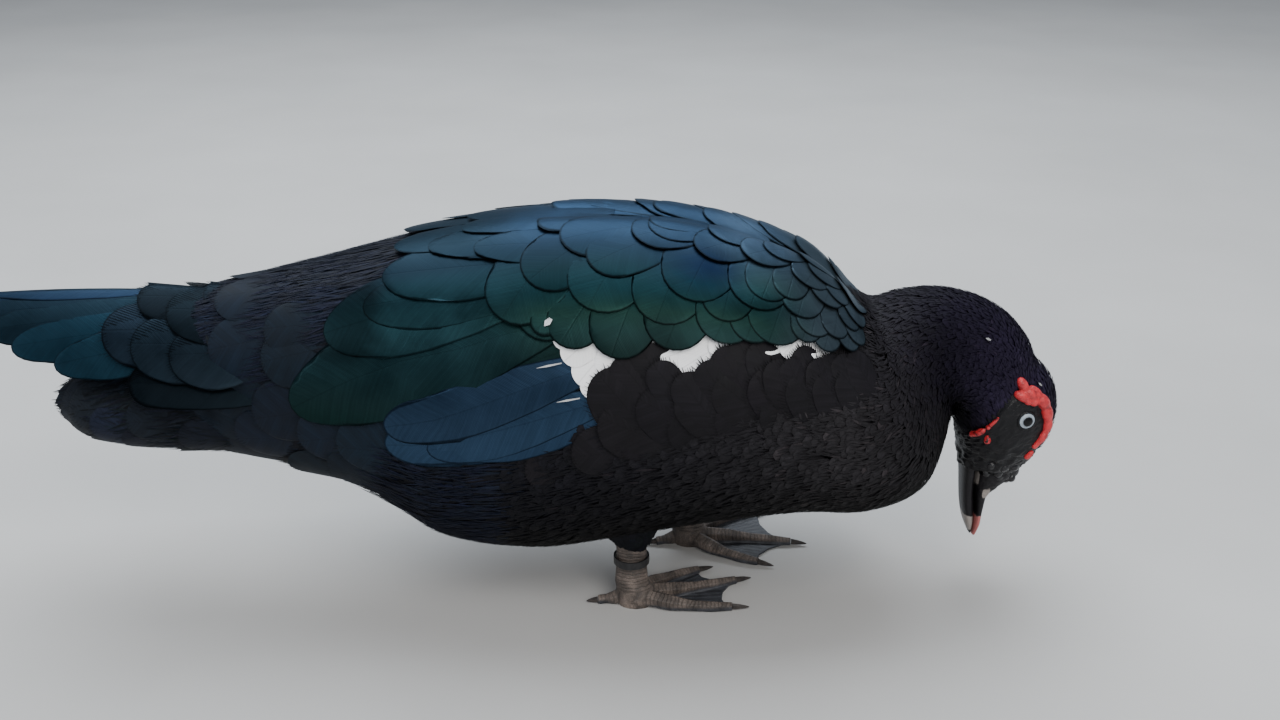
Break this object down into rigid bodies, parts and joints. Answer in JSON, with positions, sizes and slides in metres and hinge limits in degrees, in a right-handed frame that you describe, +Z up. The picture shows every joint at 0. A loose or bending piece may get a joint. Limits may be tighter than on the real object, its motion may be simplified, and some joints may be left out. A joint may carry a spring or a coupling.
{
  "type": "muscovy duck",
  "caption": "Life-size still model of a black Muscovy drake with a green gloss, standing on webbed feet with its neck arched down and its bill held just over the floor as it feeds",
  "frame": {"origin": "on the floor, under the middle of the whole bird's box", "axes": "+X is the way the bird faces, +Y its left side, +Z up"},
  "size_m": [0.7485, 0.228, 0.282],
  "materials": {
    "band": "black, satin",
    "bill": "horn, black at the base with pinkish grey patches and a pink nail",
    "black_plumage": "short close black feathers over flesh, dull with a faint violet sheen",
    "caruncle": "moist glossy red skin",
    "claw": "dark horn",
    "eye": "wet, pale grey iris with a black pupil",
    "face_and_crest": "bare slate-black face skin and black crest feathers",
    "glossed_feathers": "iridescent feathers, green below to blue and violet above, each with a dark edge",
    "leg_skin": "dry scaly grey-brown skin with orange-brown toes",
    "rump_plumage": "loose black feathers, hair-like at the edges, faint green sheen"
  },
  "bodies": {
    "root": {"bill_lower": "bill", "bill_upper": "bill", "brow_caruncles_left": "caruncle", "brow_caruncles_right": "caruncle", "chin_caruncles_left": "caruncle", "chin_caruncles_right": "caruncle", "claw_left_hallux": "claw", "claw_left_inner": "claw", "claw_left_middle": "claw", "claw_left_outer": "claw", "claw_right_hallux": "claw", "claw_right_inner": "claw", "claw_right_middle": "claw", "claw_right_outer": "claw", "eye_left": "eye", "eye_right": "eye", "foot_left": "leg_skin", "foot_right": "leg_skin", "head": "face_and_crest", "leg_band": "band", "neck": "black_plumage", "rump": "rump_plumage", "shank_left": "leg_skin", "shank_right": "leg_skin", "tail": "glossed_feathers", "thigh_left": "black_plumage", "thigh_right": "black_plumage", "torso": "black_plumage", "undertail_coverts": "rump_plumage", "wing_left": "glossed_feathers", "wing_right": "glossed_feathers"}
  },
  "joints": []
}
